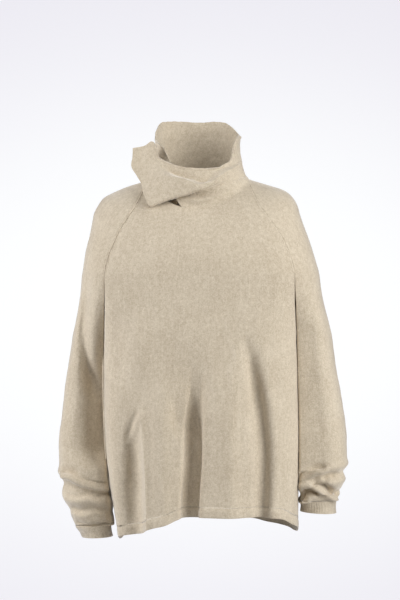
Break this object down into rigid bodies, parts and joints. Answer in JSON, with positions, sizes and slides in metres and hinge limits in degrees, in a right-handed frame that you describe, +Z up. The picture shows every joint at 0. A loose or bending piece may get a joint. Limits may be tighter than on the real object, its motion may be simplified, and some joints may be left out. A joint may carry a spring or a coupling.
{
  "type": "sweater",
  "caption": "Oversized felted knit sweater with raglan sleeves and a tall funnel collar folded in layers, held in its worn shape.",
  "frame": {"origin": "centre of the neck base, where the neckline rests on the wearer's shoulders and neck", "axes": "+X towards the wearer's left, -Y the front of the garment, +Z up"},
  "size_m": [0.6052, 0.2832, 0.8845],
  "materials": {
    "felted_knit": "soft felted nap"
  },
  "bodies": {
    "root": {"front": "felted_knit", "back": "felted_knit", "sleeve_left": "felted_knit", "sleeve_right": "felted_knit", "collar": "felted_knit", "hem_band_front": "felted_knit", "hem_band_back": "felted_knit", "cuff_left": "felted_knit", "cuff_right": "felted_knit"}
  },
  "joints": []
}
